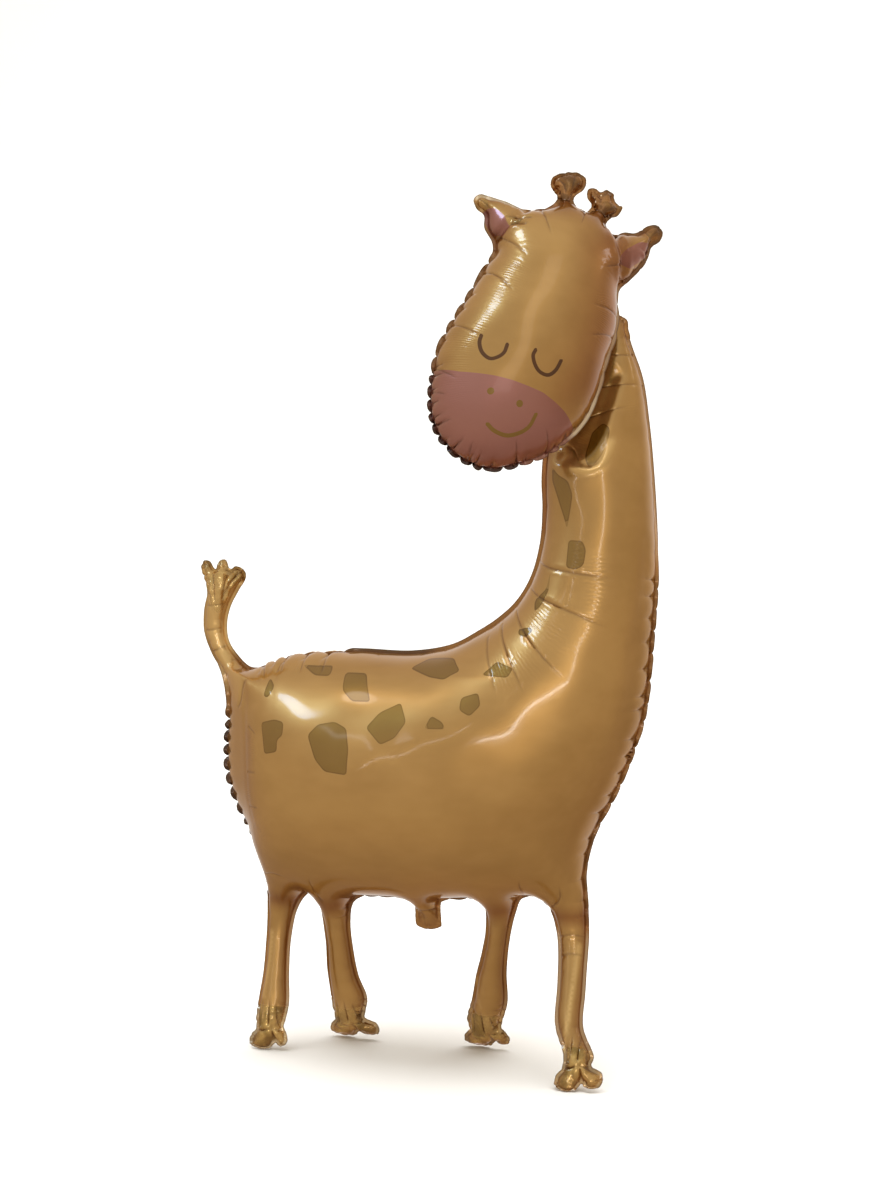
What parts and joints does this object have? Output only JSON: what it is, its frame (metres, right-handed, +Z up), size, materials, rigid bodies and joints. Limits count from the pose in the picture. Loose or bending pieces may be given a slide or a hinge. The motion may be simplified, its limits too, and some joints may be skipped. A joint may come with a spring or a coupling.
{
  "type": "animal foil balloon",
  "caption": "Standing giraffe foil balloon: inflated body with long neck, bent legs and tufted tail, and a separate pear-shaped head.",
  "frame": {"origin": "on the floor, under the middle of the whole balloon", "axes": "+Z up, +X from the tail to the chest, -Y towards the side with the face"},
  "size_m": [0.5364, 0.29, 0.9754],
  "materials": {
    "gold_foil": "metallised film, champagne gold, soft metallic sheen, with printed darker patches and a dusty rose muzzle"
  },
  "bodies": {
    "root": {"body_balloon": "gold_foil", "head_balloon": "gold_foil"}
  },
  "joints": []
}
